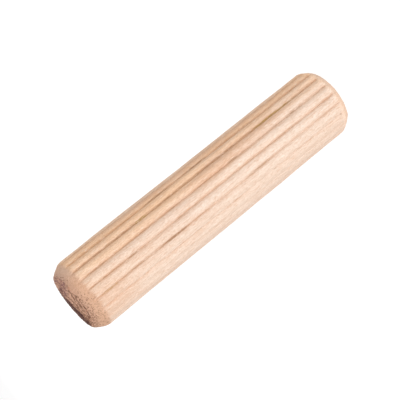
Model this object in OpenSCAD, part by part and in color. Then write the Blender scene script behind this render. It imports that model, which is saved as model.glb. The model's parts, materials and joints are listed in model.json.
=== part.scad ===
// Fluted wooden dowel pin, standing on its foot.
// The pin's axis is Z and the middle of its foot is the origin. Millimetres.

/* [Pin] */
// Diameter over the crests of the ridges
crest_d = 8; // [6:0.1:16]
// Length from foot to head
pin_l = 35.5; // [20:0.5:80]

/* [Flutes] */
// How many flutes run along the pin
flutes = 20; // [12:1:28]
// Depth of a flute below the crests
flute_depth = 0.21; // [0.1:0.01:0.4]
// Width of the flat floor of a flute
floor_w = 0.08; // [0.04:0.01:0.2]
// Width of the strip of turned surface left along each crest
crest_w = 0.62; // [0.3:0.01:0.7]

/* [Ends] */
// Slope of both bevels, as the angle from the pin's side
bevel_deg = 31.5; // [15:0.5:50]
// Length of the bevel at the head, along the pin
head_bevel_l = 1.3; // [0.4:0.1:2.4]
// Length of the bevel at the foot, along the pin
foot_bevel_l = 1; // [0.4:0.1:2.4]

/* [Hidden] */
$fn = 96;

crest_r = crest_d / 2;
floor_r = crest_r - flute_depth;
pitch_deg = 360 / flutes;

// How far each bevel's cone runs out past the crests, clear of the bar it cuts.
runout = 0.5;

// Half of the angle that a strip of this width takes up on a circle of radius r.
function half_angle(width, r) = asin(width / 2 / r);

// A ridge is a circle that the crest circle trims. Its flanks meet the crest
// circle at the edges of the crest strip and the floor circle at the edges of
// the flutes, which gives the circle's centre, ridge_c from the pin's axis.
crest_edge_deg = half_angle(crest_w, crest_r);
floor_edge_deg = pitch_deg / 2 - half_angle(floor_w, floor_r);
ridge_c = (pow(crest_r, 2) - pow(floor_r, 2))
    / (2 * (crest_r * cos(crest_edge_deg) - floor_r * cos(floor_edge_deg)));
ridge_r = norm([crest_r * cos(crest_edge_deg) - ridge_c, crest_r * sin(crest_edge_deg)]);

// Radius of the sawn end that a bevel of this length leaves.
function face_r(bevel_l) = crest_r - bevel_l * tan(bevel_deg);

// How far in from the end the bevel's cone has run out past the crests.
function cone_l(bevel_l) = bevel_l + runout / tan(bevel_deg);

module ridge() {
    translate([ridge_c, 0]) circle(r = ridge_r);
}

// Cross-section of the fluted bar, with the middle of a flute facing +X.
module fluted_section() {
    circle(r = floor_r);
    intersection() {
        circle(r = crest_r);
        union() {
            for (i = [0 : flutes - 1]) {
                rotate((i + 0.5) * pitch_deg) ridge();
            }
        }
    }
}

// Everything between the two saw cuts and inside the two bevels.
module pointed_ends() {
    rotate_extrude() polygon([
        [0, 0],
        [face_r(foot_bevel_l), 0],
        [crest_r + runout, cone_l(foot_bevel_l)],
        [crest_r + runout, pin_l - cone_l(head_bevel_l)],
        [face_r(head_bevel_l), pin_l],
        [0, pin_l]
    ]);
}

module dowel_pin() {
    color("burlywood") intersection() {
        linear_extrude(height = pin_l) fluted_section();
        pointed_ends();
    }
}

dowel_pin();
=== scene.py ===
import json
import math

import bpy
import numpy as np
from mathutils import Matrix, Vector


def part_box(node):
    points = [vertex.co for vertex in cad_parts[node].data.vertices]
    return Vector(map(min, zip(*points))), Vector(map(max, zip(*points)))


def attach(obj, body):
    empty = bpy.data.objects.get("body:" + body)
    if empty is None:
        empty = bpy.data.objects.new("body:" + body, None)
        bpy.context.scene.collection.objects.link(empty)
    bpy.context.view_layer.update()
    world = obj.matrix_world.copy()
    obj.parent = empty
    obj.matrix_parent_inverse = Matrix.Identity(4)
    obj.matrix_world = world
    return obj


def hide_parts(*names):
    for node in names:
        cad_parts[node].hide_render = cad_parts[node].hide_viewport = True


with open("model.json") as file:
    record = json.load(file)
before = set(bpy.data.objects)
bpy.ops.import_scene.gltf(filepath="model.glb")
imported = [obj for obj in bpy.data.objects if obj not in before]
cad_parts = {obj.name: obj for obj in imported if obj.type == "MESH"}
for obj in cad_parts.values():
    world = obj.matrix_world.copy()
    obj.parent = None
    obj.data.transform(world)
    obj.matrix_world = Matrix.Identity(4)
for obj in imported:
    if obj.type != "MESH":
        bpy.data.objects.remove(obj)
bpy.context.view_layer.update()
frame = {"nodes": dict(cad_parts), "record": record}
mm = 0.001
print("frame loaded:", sorted(frame["nodes"]))

# the pin's driving sizes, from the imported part, in millimetres
shank = next(m for m in frame["record"]["mounts"] if m["name"] == "shank")
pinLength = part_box("dowel_pin")[1].z / mm
crestRadius = shank["dims"]["r_mm"]
shankMiddle = shank["pos_m"][2] / mm
footBevel = shankMiddle - shank["dims"]["length_mm"] / 2
headBevel = pinLength - shankMiddle - shank["dims"]["length_mm"] / 2


def editMode(on=True):
    bpy.ops.object.mode_set(mode="EDIT" if on else "OBJECT")


def readPoints(piece):
    points = np.zeros(len(piece.data.vertices) * 3)
    piece.data.vertices.foreach_get("co", points)
    return points.reshape(-1, 3) / mm


def atHeight(points, height):
    return np.abs(points[:, 2] - height) < 0.001


def selectPoints(piece, mask):
    # leaves the piece in edit mode with only the masked points selected
    editMode()
    bpy.ops.mesh.select_mode(type="VERT")
    bpy.ops.mesh.select_all(action="DESELECT")
    editMode(False)
    piece.data.vertices.foreach_set("select", np.asarray(mask, dtype=bool))
    editMode()


def smoothStep(x):
    x = np.clip(x, 0, 1)
    return x * x * (3 - 2 * x)


def softMin(a, b, blend):
    # the smaller of two lengths, with the corner between them rounded over
    share = max(blend - abs(a - b), 0) / blend
    return min(a, b) - share * share * blend / 4


pin = {  # lengths in mm
    "flutes": 20,
    "fluteDepth": 0.24,
    "fluteSharpness": 1.8,  # higher leaves a flatter crest and a narrower flute
    "shallower": 0.18,  # depth lost on the side the pin was pressed less
    "shallowSide": 58,  # degrees round from the front
    "shallowReach": 48,  # degrees to either side of that
    "pointsPerFlute": 20,
    "shankRings": 150,
    "bevelRings": 12,
    "bevelSlope": 31.5,  # degrees from the pin's side
    "bevelCrown": 0.03,  # how far the bevel bulges past a straight cone
    "edgeBlend": 0.14,  # rounding where the bevel meets crest and flute
    "edgeLead": 0.3,  # how far down the shank that rounding starts
    "rimRings": 7,
    "rimStart": 0.25,  # distance in from the end where the bevel turns into the rim
    "rimBlend": 0.16,  # rounding where the bevel meets the sawn face
    "rimWidth": 0.5,  # how far the rim's rings carry on across the sawn face
    "rimStep": 0.002,  # least height from one ring of the rim to the next
    "sharpestSmooth": 55,  # degrees between faces that are still shaded as one
}


def fluteRadius(step):
    # step counts points round from the middle of a flute
    fromCrest = abs(1 - 2 * step / pin["pointsPerFlute"])
    return crestRadius - pin["fluteDepth"] * fromCrest ** pin["fluteSharpness"]


def bevelRadius(inward, bevelLength):
    # radius of the crowned bevel at a distance inward from the end face
    share = min(max(inward / bevelLength, 0), 1)
    straight = crestRadius - (bevelLength - inward) * math.tan(math.radians(pin["bevelSlope"]))
    return straight + pin["bevelCrown"] * 4 * share * (1 - share)


def stepsOf(points):
    # which point of its flute each point is, counted from the flute's middle
    turn = np.arctan2(points[:, 1], points[:, 0]) / (2 * math.pi)
    count = pin["flutes"] * pin["pointsPerFlute"]
    return np.round(turn * count).astype(int) % pin["pointsPerFlute"]


def shapeRing(piece, height, radiusAt):
    # draws one ring of points in or out to the radius wanted at each step of the flute
    points = readPoints(piece)
    steps = stepsOf(points)
    onRing = atHeight(points, height)
    for step in range(pin["pointsPerFlute"] // 2 + 1):
        mask = onRing & ((steps == step) | (steps == pin["pointsPerFlute"] - step))
        now = np.hypot(points[mask, 0], points[mask, 1]).mean()
        selectPoints(piece, mask)
        share = radiusAt(step) / now
        bpy.ops.transform.resize(value=(share, share, 1), center_override=(0, 0, 0))
        editMode(False)


def extrudeRing(piece, height, newHeight):
    selectPoints(piece, atHeight(readPoints(piece), height))
    bpy.ops.mesh.extrude_region_move(
        TRANSFORM_OT_translate={"value": (0, 0, (newHeight - height) * mm)})
    editMode(False)


def addBevel(piece, start, end):
    # carries the open ring at start over the crowned bevel and the rounded rim, and fills the face
    up = 1 if end > start else -1
    bevelLength = headBevel if up > 0 else footBevel
    faceRadius = bevelRadius(0, bevelLength)
    height = start
    turn = end - up * pin["rimStart"]
    for ring in range(1, pin["bevelRings"] + 1):
        newHeight = start + (turn - start) * ring / pin["bevelRings"]
        extrudeRing(piece, height, newHeight)
        height = newHeight
        bevelHere = bevelRadius(abs(end - height), bevelLength)
        shapeRing(piece, height, lambda step: softMin(fluteRadius(step), bevelHere, pin["edgeBlend"]))
    widest = bevelHere
    for ring in range(1, pin["rimRings"] + 1):
        radius = widest - (widest - faceRadius + pin["rimWidth"]) * ring / pin["rimRings"]
        outside = (radius - faceRadius) / math.tan(math.radians(pin["bevelSlope"]))
        newHeight = end + up * softMin(0, -outside, pin["rimBlend"])
        newHeight = max(newHeight * up, height * up + pin["rimStep"]) * up
        extrudeRing(piece, height, newHeight)
        height = newHeight
        shapeRing(piece, height, lambda step: radius)
    selectPoints(piece, atHeight(readPoints(piece), height))
    bpy.ops.mesh.fill_grid(span=pin["flutes"] * pin["pointsPerFlute"] // 4)
    editMode(False)


def modelPin():
    bpy.ops.object.select_all(action="DESELECT")
    low = footBevel + pin["edgeLead"]
    high = pinLength - headBevel - pin["edgeLead"]
    bpy.ops.mesh.primitive_circle_add(
        vertices=pin["flutes"] * pin["pointsPerFlute"], radius=crestRadius * mm,
        fill_type="NOTHING", location=(0, 0, low * mm))
    piece = bpy.context.object
    piece.name = "flutedPin"
    bpy.ops.object.transform_apply(location=True, rotation=True, scale=True)
    # primitive_circle_add starts at +Y, which has a flute's middle too
    shapeRing(piece, low, fluteRadius)
    extrudeRing(piece, low, high)
    addBevel(piece, low, 0)
    addBevel(piece, high, pinLength)
    editMode()
    bpy.ops.mesh.select_all(action="SELECT")
    bpy.ops.mesh.normals_make_consistent(inside=False)
    bpy.ops.mesh.select_all(action="DESELECT")
    bpy.ops.mesh.select_mode(type="EDGE")
    editMode(False)
    heights = readPoints(piece)[:, 2]
    for edge in piece.data.edges:
        a, b = edge.vertices
        edge.select = bool(abs(heights[a] - heights[b]) > (high - low) / 2)
    editMode()
    bpy.ops.mesh.subdivide(number_cuts=pin["shankRings"])
    editMode(False)
    return piece


def addAttribute(piece, name, values):
    layer = piece.data.attributes.new(name, "FLOAT", "POINT")
    layer.data.foreach_set("value", np.asarray(values, dtype=np.float32))


def addGroup(piece, name, weights):
    group = piece.vertex_groups.new(name=name)
    for index, weight in enumerate(weights):
        if weight > 0:
            group.add([index], float(weight), "REPLACE")


surfaces = {  # how the sides, bevels and faces run into each other, mm
    "bevelFade": 0.14,  # end grain's relief, out from the bevel
    "bevelPast": 0.2,  # and on down the shank
    "tintFade": 0.6,  # end grain's colour, which spreads further than its relief
    "tintEdge": 0.9,
    "tintPastHead": 0.5,
    "tintSlant": 0.07,  # lost from that for each millimetre towards +X
    "tintPastFoot": 0.1,
    "sawnFade": 0.9,
    "sawnDepth": 0.8,
    "faceFade": 0.3,
    "shallowTintAndShade": 0.6,  # share of the flutes' darker colour, their own and painted shade, lost where they are shallow, on the lit side
}


def markPin(piece):
    # where each kind of surface is, for the relief and for the finish
    points = readPoints(piece)
    radius = np.hypot(points[:, 0], points[:, 1])
    inward = np.minimum(points[:, 2], pinLength - points[:, 2])
    atHead = points[:, 2] > pinLength / 2
    bevelLength = np.where(atHead, headBevel, footBevel)
    cone = np.array([bevelRadius(i, b) for i, b in zip(inward, bevelLength)])
    endGrain = smoothStep((radius - cone) / surfaces["bevelFade"] + 1.0)
    endGrain = endGrain * (inward < bevelLength + surfaces["bevelPast"])
    headPast = surfaces["tintPastHead"] - surfaces["tintSlant"] * points[:, 0]
    reach = bevelLength + np.where(atHead, headPast, surfaces["tintPastFoot"])
    tinted = smoothStep((radius - cone) / surfaces["tintFade"] + 1.0)
    tinted = tinted * smoothStep((reach - inward) / surfaces["tintEdge"])
    faceRadius = np.where(atHead, bevelRadius(0, headBevel), bevelRadius(0, footBevel))
    sawn = smoothStep((faceRadius - radius) / surfaces["sawnFade"] + 0.5)
    sawn = sawn * (inward < surfaces["sawnDepth"])
    endGrain = np.maximum(endGrain, sawn)
    turn = np.arctan2(-points[:, 0], -points[:, 1]) - math.radians(pin["shallowSide"])
    away = np.abs(np.arctan2(np.sin(turn), np.cos(turn))) / math.radians(pin["shallowReach"])
    shallow = 1 - smoothStep(away)
    flute = np.clip((crestRadius - radius) / pin["fluteDepth"], 0, 1) * (1 - endGrain)
    # the flute attribute carries the flutes' darker colour and painted shade, less of both on the
    # shallow, lit side
    addAttribute(piece, "flute", flute * (1 - surfaces["shallowTintAndShade"] * shallow))
    addAttribute(piece, "endGrain", np.maximum(tinted, sawn))
    addAttribute(piece, "sawn", sawn)
    addGroup(piece, "sides", 1 - endGrain)
    onFace = smoothStep((faceRadius - radius) / surfaces["faceFade"]) * (inward < pin["rimStart"])
    addGroup(piece, "bevels", endGrain * (1 - onFace))
    addGroup(piece, "faces", onFace)
    addGroup(piece, "shallow", flute * shallow)


# the points each layer acts on, its direction, depth, the noise level that stays put, and its
# grain along X, Y and Z; lengths in mm
relief = {
    "wanderX": (None, "X", 0.16, 0.5, (2.2, 2.2, 11)),
    "wanderY": (None, "Y", 0.16, 0.5, (2.2, 2.2, 11)),
    "fibres": ("sides", "NORMAL", 0.05, 0.6, (0.17, 0.17, 3.2)),
    "tornBevel": ("bevels", "NORMAL", 0.14, 0.6, (0.17, 0.17, 0.3)),
    "sawMarks": ("faces", "NORMAL", 0.3, 0.9, (1.1, 0.16, 1)),
    "tornFace": ("faces", "NORMAL", 0.2, 0.9, (0.25, 0.25, 0.25)),
}


def carveRelief(piece):
    lift = piece.modifiers.new("shallow", "DISPLACE")
    lift.strength = pin["shallower"] * mm
    lift.mid_level = 0
    lift.vertex_group = "shallow"
    bpy.ops.object.modifier_apply(modifier="shallow")
    for name, (group, way, depth, level, cells) in relief.items():
        texture = bpy.data.textures.new(name, "CLOUDS")
        texture.noise_scale = 1
        texture.noise_depth = 2
        texture.noise_basis = "ORIGINAL_PERLIN"
        stretch = bpy.data.objects.new(name, None)
        bpy.context.scene.collection.objects.link(stretch)
        stretch.scale = [size * mm for size in cells]
        bpy.context.view_layer.update()
        modifier = piece.modifiers.new(name, "DISPLACE")
        modifier.texture = texture
        modifier.texture_coords = "OBJECT"
        modifier.texture_coords_object = stretch
        modifier.direction = way
        modifier.strength = depth * mm
        modifier.mid_level = level
        if group:
            modifier.vertex_group = group
        bpy.ops.object.modifier_apply(modifier=name)
        bpy.data.objects.remove(stretch)
        bpy.data.textures.remove(texture)


pinPiece = modelPin()
markPin(pinPiece)
print("pin modelled:", len(pinPiece.data.polygons), "faces")
carveRelief(pinPiece)
bpy.ops.object.shade_smooth_by_angle(angle=math.radians(pin["sharpestSmooth"]))
print("relief carved")


class Link:
    # an output socket; arithmetic on it adds Math nodes
    def __init__(self, tree, socket=None):
        self.tree = tree
        self.socket = socket

    def add(self, kind, settings=None, inputs=None, output=0):
        node = self.tree.nodes.new(kind)
        for key, value in (settings or {}).items():
            setattr(node, key, value)
        for key, value in (inputs or {}).items():
            if isinstance(value, Link):
                self.tree.links.new(value.socket, node.inputs[key])
            else:
                node.inputs[key].default_value = value
        return Link(self.tree, node.outputs[output]) if node.outputs else None

    def maths(self, operation, *values):
        return self.add("ShaderNodeMath", {"operation": operation}, dict(enumerate(values)))

    def __add__(self, other):
        return self.maths("ADD", self, other)

    def __radd__(self, other):
        return self.maths("ADD", other, self)

    def __sub__(self, other):
        return self.maths("SUBTRACT", self, other)

    def __rsub__(self, other):
        return self.maths("SUBTRACT", other, self)

    def __mul__(self, other):
        return self.maths("MULTIPLY", self, other)

    def __rmul__(self, other):
        return self.maths("MULTIPLY", other, self)

    def __pow__(self, other):
        return self.maths("POWER", self, other)

    def __rpow__(self, other):
        return self.maths("POWER", other, self)


def between(value, low, high):
    # 0 below low, 1 above high, smooth in between
    return value.add("ShaderNodeMapRange", {"interpolation_type": "SMOOTHSTEP"},
                     {"Value": value, "From Min": low, "From Max": high})


def mixColours(factor, a, b, blend="MIX"):
    link = next(v for v in (factor, a, b) if isinstance(v, Link))
    return link.add("ShaderNodeMix", {"data_type": "RGBA", "blend_type": blend},
                    {0: factor, 6: a, 7: b}, output=2)


grain = {  # size of the noise along X, Y and Z (mm), detail, roughness and shift in the noise
    "broad": ((2.0, 2.0, 14), 3, 0.6, 0),
    "patchy": ((1.0, 1.0, 3), 3, 0.6, 3),
    "fibre": ((0.16, 0.16, 3.5), 3, 0.65, 0),
    "fine": ((0.09, 0.09, 0.6), 2, 0.6, 7),
    "longMottle": ((0.1, 0.1, 0.8), 2, 0.6, 17),
    "shortMottle": ((0.1, 0.1, 0.2), 2, 0.6, 17),
    "clumps": ((1.4, 1.4, 1.4), 2, 0.5, 11),
    "dashes": ((0.6, 0.5, 1), 4, 0.75, 9),
    "spots": ((0.35, 0.5, 1), 2, 0.7, 21),
    "ragged": ((0.7, 0.6, 1), 3, 0.7, 13),
}


def grainNoise(coords, name):
    size, detail, roughness, shift = grain[name]
    scaled = coords.add("ShaderNodeMapping", None, {
        "Vector": coords, "Location": (shift, shift, shift), "Scale": [1 / (s * mm) for s in size]})
    return coords.add("ShaderNodeTexNoise", None, {
        "Vector": scaled, "Scale": 1, "Detail": detail, "Roughness": roughness})


wood = {  # colours in linear light
    # painted shade: the warm gold of the side turned from the key lamp
    "shadeGold": (0.99, 0.69, 0.47),
    "pink": (0.93, 0.72, 0.585),
    "cream": (0.93, 0.76, 0.65),
    "pale": (1.0, 0.84, 0.73),
    "fibre": (0.77, 0.46, 0.30),
    "olive": (0.48, 0.31, 0.08),
    "streak": (0.42, 0.24, 0.14),
    "endGrain": (0.78, 0.50, 0.355),
    "greyed": (0.78, 0.57, 0.46),
    "footGrain": (0.78, 0.58, 0.45),
    "pore": (0.22, 0.10, 0.06),
    "sawn": (0.88, 0.57, 0.43),
    "sawnDark": (0.22, 0.10, 0.065),
    # painted shade on the sawn face: a dark wash, also darkening the head's bevel towards the face,
    # and a near-black far side and edge
    "faceShade": (0.37, 0.21, 0.20),
    "darkShade": (0.095, 0.042, 0.048),
}

finish = {
    "shadeGoldFrom": 2,  # degrees round from the front where the painted golden shade of the side turned from the key lamp starts
    "shadeGoldFull": -58,  # and where that painted shade is full
    "shadeGoldWander": 60,  # degrees by which the grain moves that border
    "creamPatches": 0.5,
    "fibreLines": 0.32,
    # darkening in the flutes and their middle line: partly their own colour, partly painted shade
    "fluteTintAndShade": (0.85, 0.75, 0.68),
    "fluteLineAndShade": 0.5,
    "paleFlecks": 0.55,
    "fibreDarts": 0.55,
    "poreSize": 0.15,  # mm from one to the next
    "pores": 0.45,
    "poresNearFace": 0.35,  # added to that
    "greyedSide": 0.8,
    "darkerNearFace": 0.22,
    "dashes": 0.75,
    # painted shade on the sawn face's far side and far edge
    "farSideShade": 0.9,
    "farEdgeShade": 0.6,
    "longMottle": (0.93, 0.90, 0.87),  # tints at their darkest
    "shortMottle": (0.89, 0.86, 0.82),
    "bumpHeight": 0.03,  # mm
    "roughness": 0.8,
    "specular": 0.02,
}

# marks: degrees round from the front, height, half width, half length (mm), strength and colour
patches = [  # anywhere on the sides
    (-27, 13.0, 1.2, 9.0, 0.35, "fibre"),
    (-63, 17.0, 0.5, 18.0, 0.35, "fibre"),
    # painted highlights: cream and pale bands along the brightest crests
    (9, 11.0, 0.75, 16.0, 1.0, "cream"),
    (9, 11.0, 0.6, 13.0, 0.9, "pale"),
    (-7, 8.0, 0.6, 13.0, 0.8, "pale"),
    (27, 8.0, 0.7, 12.0, 0.7, "pale"),
    (-21, 5.0, 0.4, 10.0, 0.7, "pale"),
    (37, 25.0, 0.3, 12.0, 0.6, "fibre"),
    # painted highlights: paler cream along a crest near the head and over the foot end
    (-8, 26.0, 0.8, 9.0, 0.6, "cream"),
    (-20, 3.0, 2.5, 9.0, 0.3, "cream"),
    # painted light: the lit side made paler and creamier
    (45, 16.0, 3.4, 26.0, 0.75, "cream"),
    (-80, 18.0, 1.0, 24.0, 0.6, "cream"),
    (36, 33.0, 2.2, 4.0, 0.35, "fibre"),
    (36, 1.2, 0.13, 0.13, 0.9, "streak"),
]
streaks = [  # only in the flutes
    (-18, 8.0, 0.4, 10.0, 0.5, "pink"),
    (36, 13.0, 0.4, 15.0, 0.6, "streak"),
    (36, 26.5, 0.35, 6.5, 0.6, "streak"),
    (-36, 17.0, 0.4, 19.0, 0.35, "streak"),
    (-36, 25.6, 0.4, 0.9, 0.9, "olive"),
    (18, 24.1, 0.4, 2.3, 0.7, "streak"),
    (18, 28.5, 0.4, 3.5, 0.35, "streak"),
    (18, 5.5, 0.5, 7.0, 0.4, "cream"),
    (18, 24.2, 0.4, 1.0, 0.5, "streak"),
    (18, 12.5, 0.4, 2.2, 0.4, "streak"),
    (-54, 22.6, 0.4, 2.1, 0.65, "streak"),
    (-54, 17.1, 0.4, 1.7, 0.7, "streak"),
    (-36, 30.5, 0.4, 4.5, 0.35, "streak"),
    (-36, 14.7, 0.4, 5.5, 0.1, "streak"),
    (-36, 7.4, 0.4, 3.4, 0.7, "olive"),
    (-18, 14.2, 0.4, 0.9, 0.5, "streak"),
    (-18, 5.5, 0.4, 1.6, 0.5, "streak"),
    (0, 28.6, 0.4, 0.8, 0.5, "streak"),
    (18, 32.4, 0.4, 1.2, 0.4, "olive"),
]


def colour(name):
    return (*wood[name], 1)


class Place:
    # where the surface point is: millimetres from the axis, and round and up the pin
    def __init__(self, coords):
        split = coords.add("ShaderNodeSeparateXYZ", None, {0: coords})
        x, y, z = (Link(coords.tree, split.socket.node.outputs[i]) * (1 / mm) for i in range(3))
        self.x, self.y, self.height = x, y, z
        self.angle = coords.maths("ARCTAN2", -1 * x, -1 * y) * (180 / math.pi)
        self.radius = (x * x + y * y) ** 0.5


def markMask(place, mark):
    # an ellipse on the pin's side, faded towards its edge
    turn, middle, halfWidth, halfLength, strength, name = mark
    across = (place.angle - turn) * (math.radians(crestRadius) / halfWidth)
    along = (place.height - middle) * (1 / halfLength)
    return between(across * across + along * along, 1.0, 0.1) * strength


def sideColour(coords, place, flute, fibre, fine):
    broad = grainNoise(coords, "broad")
    # painted shade: the side turned from the key lamp is golden, the rest stays pink
    turned = place.angle + (broad - 0.5) * finish["shadeGoldWander"]
    shadeGold = between(turned, finish["shadeGoldFrom"], finish["shadeGoldFull"])
    shadeGold = shadeGold * between(place.angle, -180, -110)
    side = mixColours(shadeGold, colour("pink"), colour("shadeGold"))
    side = mixColours(between(broad, 0.5, 0.75) * finish["creamPatches"], side, colour("cream"))
    for patch in patches:
        side = mixColours(markMask(place, patch), side, colour(patch[-1]))
    side = mixColours(between(fibre, 0.40, 0.72) * finish["fibreLines"], side, colour("fibre"))
    # the flutes are darker, in patches, partly their own colour and partly painted shade, with a
    # broken line down the middle, likewise partly painted shade, and streaks
    patchy = grainNoise(coords, "patchy")
    inFlute = between(flute, 0.3, 0.95) * (0.55 + between(patchy, 0.3, 0.7) * 0.6)
    darker = mixColours(1.0, side, (*finish["fluteTintAndShade"], 1), "MULTIPLY")
    side = mixColours(inFlute, side, darker)
    line = between(flute, 0.78, 0.98) * between(patchy, 0.3, 0.6) * between(fibre, 0.35, 0.6)
    side = mixColours(line * finish["fluteLineAndShade"], side, colour("streak"))
    for streak in streaks:
        mask = markMask(place, streak) * between(flute, 0.5, 0.8)
        mask = mask * between(fibre, 0.25, 0.5) * between(fine, 0.25, 0.55)
        side = mixColours(mask, side, colour(streak[-1]))
    side = mixColours(between(fine, 0.44, 0.30) * finish["paleFlecks"], side, colour("pale"))
    return mixColours(between(fine, 0.56, 0.70) * finish["fibreDarts"], side, colour("fibre"))


def bevelColour(coords, place):
    # end grain: open pores that crowd towards the head's face and away from +X
    poreScale = 1 / (finish["poreSize"] * mm)
    dots = coords.add("ShaderNodeTexVoronoi", None, {"Vector": coords, "Scale": poreScale})
    chance = Link(coords.tree, dots.socket.node.outputs["Color"])
    clumps = grainNoise(coords, "clumps") * 0.5
    atHead = between(place.height, pinLength / 2 - 1, pinLength / 2 + 1)
    crowd = between(place.radius, 3.9, 2.9) * 0.42 - between(place.x, -1.0, 1.4) * 0.55
    crowd = crowd + between(place.radius, 3.6, 3.0) * between(place.x, 0.6, -0.4) * 0.25
    pores = between(dots, 0.6, 0.3) * between(chance + clumps + crowd, 0.72, 0.86) * atHead
    greyed = between(place.x, 1.2, 3.2) * finish["greyedSide"]
    bevel = mixColours(greyed, colour("endGrain"), colour("greyed"))
    bevel = mixColours(atHead, colour("footGrain"), bevel)
    # the head's bevel darkened towards the face, in the colour of the face's painted shade
    nearFace = between(place.radius, 3.65, 3.3)
    bevel = mixColours(nearFace * atHead * finish["darkerNearFace"], bevel, colour("faceShade"))
    pores = pores * (finish["pores"] + nearFace * finish["poresNearFace"])
    return mixColours(pores, bevel, colour("pore"))


def faceColour(coords, place, ragged):
    # torn dashes along X, and painted shade where the face turns from the key lamp: a dark wash on
    # the +X side and a near-black band on the far side and along the far edge
    dashes = grainNoise(coords, "dashes")
    dashes = between(dashes - between(place.x, -1, 2) * 0.1, 0.44, 0.54)
    face = mixColours(dashes * finish["dashes"], colour("sawn"), colour("sawnDark"))
    spots = grainNoise(coords, "spots")
    # painted shade: the face darker towards +X, the side turned from the key lamp, in patches
    sideShade = between(place.x + place.y * 0.3 + ragged, 0.4, 1.8)
    sideShade = sideShade * (0.25 + between(spots, 0.4, 0.6) * 0.75)
    face = mixColours(sideShade, face, colour("faceShade"))
    # painted shade: near-black on the far side and along the far edge
    turned = place.x * -0.4 + place.y * 0.92 + ragged * 0.5
    farSideShade = between(turned, 1.6, 2.6) * finish["farSideShade"]
    edge = between(place.y + place.x * 0.15 + ragged * 0.3, 2.4, 3.1) * finish["farEdgeShade"]
    return mixColours(coords.maths("MAXIMUM", farSideShade, edge), face, colour("darkShade"))


def endColour(coords, place, sawn):
    ragged = (grainNoise(coords, "ragged") - 0.5) * 2
    onFace = between(sawn + ragged * 0.15, 0.35, 0.75)
    return mixColours(onFace, bevelColour(coords, place), faceColour(coords, place, ragged))


def woodFinish():
    material = bpy.data.materials.new("bareHardwood")
    material.use_nodes = True
    tree = material.node_tree
    tree.nodes.clear()
    start = Link(tree)
    coords = start.add("ShaderNodeTexCoord", output="Object")
    flute = start.add("ShaderNodeAttribute", {"attribute_name": "flute"}, output="Fac")
    endGrain = start.add("ShaderNodeAttribute", {"attribute_name": "endGrain"}, output="Fac")
    sawn = start.add("ShaderNodeAttribute", {"attribute_name": "sawn"}, output="Fac")
    place = Place(coords)
    fibre = grainNoise(coords, "fibre")
    fine = grainNoise(coords, "fine")
    endMask = between(endGrain + (fibre - 0.5) * 0.8 + (fine - 0.5) * 0.3, 0.05, 1)
    side = sideColour(coords, place, flute, fibre, fine)
    base = mixColours(endMask, side, endColour(coords, place, sawn))
    for name in ("longMottle", "shortMottle"):
        pale = between(grainNoise(coords, name), 0.35, 0.65)
        mottle = mixColours(pale, (*finish[name], 1), (1, 1, 1, 1))
        base = mixColours(1.0, base, mottle, "MULTIPLY")
    bump = start.add("ShaderNodeBump", None, {
        "Height": fibre * 0.35 + fine * 0.5, "Distance": finish["bumpHeight"] * mm, "Strength": 1.0})
    shader = start.add("ShaderNodeBsdfPrincipled", None, {
        "Base Color": base, "Roughness": finish["roughness"],
        "Specular IOR Level": finish["specular"], "Normal": bump})
    start.add("ShaderNodeOutputMaterial", None, {"Surface": shader})
    return material


pinPiece.data.materials.append(woodFinish())
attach(pinPiece, "root")
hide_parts("dowel_pin")
print("finish made")


studio = {
    "floorSize": 3.0,
    "floorColour": (0.19, 0.19, 0.19),
    "floorGlow": 0.95,
    "worldStrength": 0.06,
}

lamps = {  # azimuth and elevation seen from the pin, distance and width (m), power (W), colour
    "key": (-40, 3, 0.4, 0.2, 0.75, (1, 1, 1)),
    "front": (-10, 3, 0.4, 0.2, 0.68, (1, 1, 1)),
    "fill": (80, 35, 0.4, 0.2, 0.2, (1, 0.8, 0.65)),
    "top": (0, 90, 0.4, 0.2, 0.75, (1, 0.98, 0.95)),
    "back": (165, 25, 0.4, 0.3, 0.6, (1, 0.97, 0.93)),
}


def makeFloor():
    bpy.ops.mesh.primitive_plane_add(size=studio["floorSize"])
    floor = bpy.context.object
    floor.name = "floor"
    material = bpy.data.materials.new("paleFloor")
    material.use_nodes = True
    shader = material.node_tree.nodes["Principled BSDF"]
    shader.inputs["Base Color"].default_value = (*studio["floorColour"], 1)
    shader.inputs["Roughness"].default_value = 0.9
    shader.inputs["Specular IOR Level"].default_value = 0
    shader.inputs["Emission Color"].default_value = (1, 1, 1, 1)
    shader.inputs["Emission Strength"].default_value = studio["floorGlow"]
    floor.data.materials.append(material)


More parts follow.
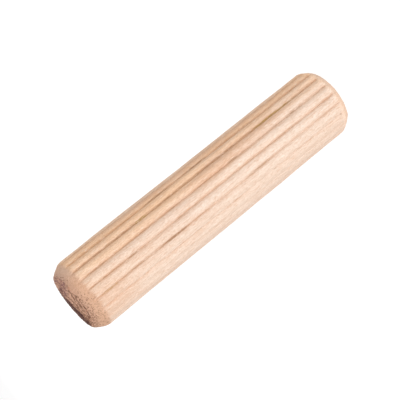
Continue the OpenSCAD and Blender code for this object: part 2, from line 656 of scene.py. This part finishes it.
def direction(azimuth, elevation):
    # azimuth 0 is the camera's side, -Y, and positive azimuths turn towards +X
    turn, rise = math.radians(azimuth), math.radians(elevation)
    return Vector((math.sin(turn) * math.cos(rise), -math.cos(turn) * math.cos(rise), math.sin(rise)))


def makeLamps(target):
    for name, (azimuth, elevation, distance, width, power, tint) in lamps.items():
        data = bpy.data.lights.new(name, "AREA")
        data.size = width
        data.energy = power
        data.color = tint
        lamp = bpy.data.objects.new(name, data)
        bpy.context.scene.collection.objects.link(lamp)
        outward = direction(azimuth, elevation)
        lamp.location = target + outward * distance
        lamp.rotation_euler = outward.to_track_quat("Z", "Y").to_euler()


view = {
    "azimuth": 0.7,  # degrees, as are the next angles
    "elevation": 18.4,
    "distance": 0.123,  # m
    "headAngle": 141.1,  # which way the head points in the frame, clockwise from the right
    "lens": 106.3,  # mm
    "offset": (0.0125, -0.01025),  # the pin's middle, right of and below the frame's, in frame widths
}


def makeCamera(target):
    data = bpy.data.cameras.new("camera")
    data.sensor_width = 36
    data.lens = view["lens"]
    data.clip_start = 0.005
    camera = bpy.data.objects.new("camera", data)
    bpy.context.scene.collection.objects.link(camera)
    outward = direction(view["azimuth"], view["elevation"])
    up = (Vector((0, 0, 1)) - outward * outward.z).normalized()
    side = up.cross(outward)
    turn = math.radians(view["headAngle"])
    right = math.cos(turn) * up - math.sin(turn) * side
    down = math.sin(turn) * up + math.cos(turn) * side
    turned = Matrix((right, -down, outward)).transposed()
    frameWidth = view["distance"] * data.sensor_width / data.lens
    middle = target - (right * view["offset"][0] + down * view["offset"][1]) * frameWidth
    camera.matrix_world = Matrix.Translation(middle + outward * view["distance"]) @ turned.to_4x4()
    bpy.context.scene.camera = camera


def makeWorld():
    world = bpy.data.worlds.new("studio")
    world.use_nodes = True
    world.node_tree.nodes["Background"].inputs["Color"].default_value = (1, 1, 1, 1)
    world.node_tree.nodes["Background"].inputs["Strength"].default_value = studio["worldStrength"]
    bpy.context.scene.world = world
    bpy.context.scene.view_settings.view_transform = "Standard"


pinCentre = Vector((0, 0, pinLength * mm / 2))
makeFloor()
makeLamps(pinCentre)
makeCamera(pinCentre)
makeWorld()
print("studio set")
